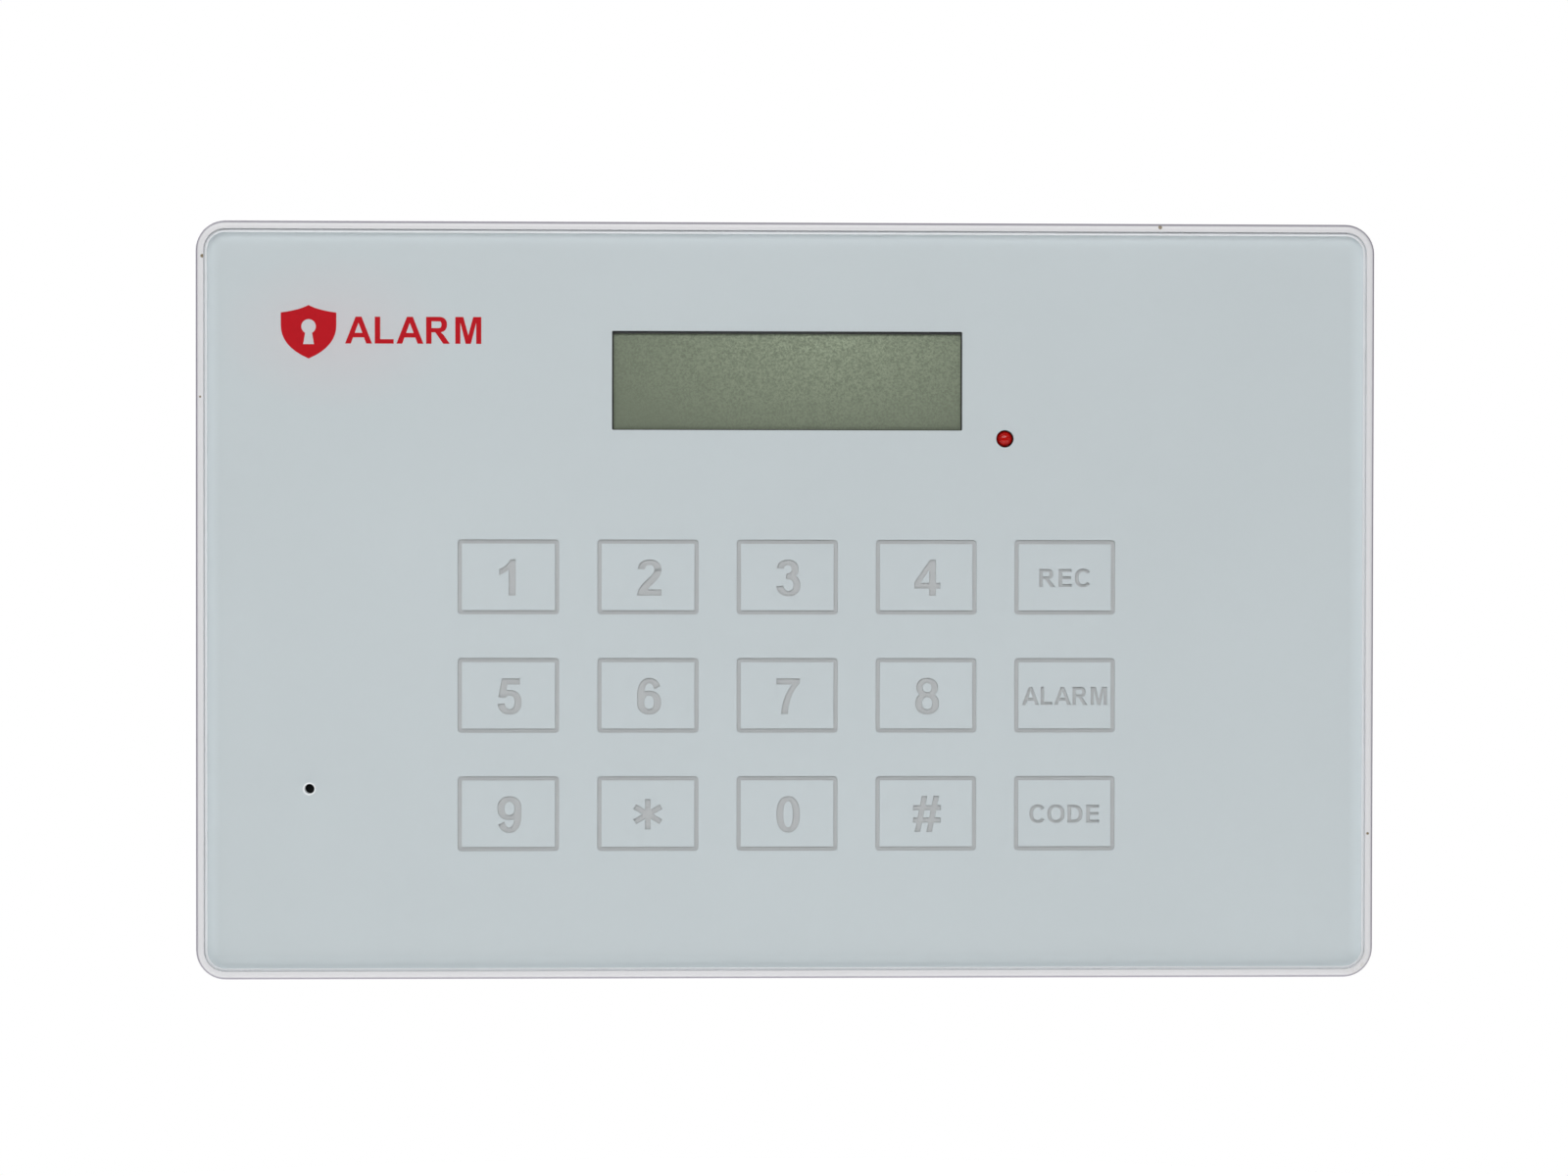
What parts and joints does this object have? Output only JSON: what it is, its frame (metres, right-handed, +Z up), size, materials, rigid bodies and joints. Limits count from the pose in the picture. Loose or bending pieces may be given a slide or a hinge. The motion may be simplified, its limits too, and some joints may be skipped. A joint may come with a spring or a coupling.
{
  "type": "alarm keypad panel",
  "caption": "Slim wall-mounted alarm keypad with a flat touch front, a small display, an indicator and a hang-on bracket.",
  "frame": {"origin": "on the wall plane, behind the middle of the case", "axes": "+X to the right as the user sees it, +Y into the wall, +Z up; the front faces -Y"},
  "size_m": [0.192, 0.026, 0.1232],
  "materials": {
    "case_gloss": "glossy white ABS",
    "cover_plastic": "fine-textured white ABS",
    "bracket_plastic": "satin white ABS",
    "clear_acrylic": "polished clear acrylic",
    "film_print": "pale blue-grey screen print",
    "diffuser_sheet": "milky",
    "tape_foam": "white foam tape",
    "lcd_black": "matt black",
    "lcd_grey_green": "satin polariser",
    "lcd_light": "white light guide",
    "black_rubber": "soft black",
    "board_green": "green solder mask",
    "spring_steel": "bright",
    "lamp_white": "moulded",
    "chip_black": "moulded",
    "led_red": "tinted clear",
    "screw_steel": "zinc plated",
    "tinned_steel": "tinned",
    "terminal_green": "moulded",
    "brass_contact": "plated",
    "can_aluminium": "sleeved can",
    "ferrite_grey": "moulded ferrite",
    "jack_black": "moulded",
    "knob_black": "moulded",
    "speaker_steel": "pressed",
    "speaker_film": "polymer film",
    "battery_wrap": "shrink wrap",
    "wire_insulation": "PVC",
    "aerial_wire": "PVC",
    "plug_white": "nylon",
    "mic_metal": "pressed can"
  },
  "bodies": {
    "wall_bracket": {"wall_bracket": "bracket_plastic"},
    "panel": {"front_frame": "case_gloss", "touch_panel": "clear_acrylic", "graphic_film": "film_print", "light_diffuser": "diffuser_sheet", "panel_tape": "tape_foam", "lcd_bezel": "lcd_black", "lcd_glass": "lcd_grey_green", "lcd_backlight": "lcd_light", "lcd_contact_strip": "black_rubber", "keypad_board": "board_green", "touch_springs": "spring_steel", "key_lights": "lamp_white", "touch_chips": "chip_black", "status_led": "led_red", "led_sleeve": "black_rubber", "microphone": "mic_metal", "mic_boot": "black_rubber", "board_socket": "chip_black", "keypad_board_screws": "screw_steel", "main_board": "board_green", "main_board_screws": "screw_steel", "board_header": "chip_black", "processor": "chip_black", "radio_board": "board_green", "radio_shield": "tinned_steel", "antenna": "aerial_wire", "capacitors": "can_aluminium", "power_inductor": "ferrite_grey", "terminal_block": "terminal_green", "terminal_screws": "screw_steel", "dc_jack": "jack_black", "dc_jack_pin": "brass_contact", "switch_body": "tinned_steel", "speaker_gasket": "tape_foam", "speaker_basket": "speaker_steel", "speaker_cone": "speaker_film", "battery": "battery_wrap", "battery_pad": "tape_foam", "battery_leads": "wire_insulation", "speaker_leads": "wire_insulation", "battery_plug": "plug_white", "speaker_plug": "plug_white", "tamper_body": "jack_black", "tamper_spring": "spring_steel", "back_cover": "cover_plastic", "case_screws": "screw_steel"},
    "power_knob": {"power_knob": "knob_black"},
    "tamper_plunger": {"tamper_plunger": "plug_white"}
  },
  "joints": [
    {"name": "panel_lift", "type": "slide", "parent": "wall_bracket", "child": "panel", "axis": [0, 0, 1], "range_m": [0, 0.006]},
    {"name": "power_switch", "type": "slide", "parent": "panel", "child": "power_knob", "axis": [0, 0, 1], "range_m": [0, 0.0025]},
    {"name": "tamper_press", "type": "slide", "parent": "panel", "child": "tamper_plunger", "axis": [0, 1, 0], "range_m": [-0.0015, 0], "stiffness_N_per_m": 150, "springref_m": 0.0005, "deforming": ["tamper_spring"]}
  ]
}
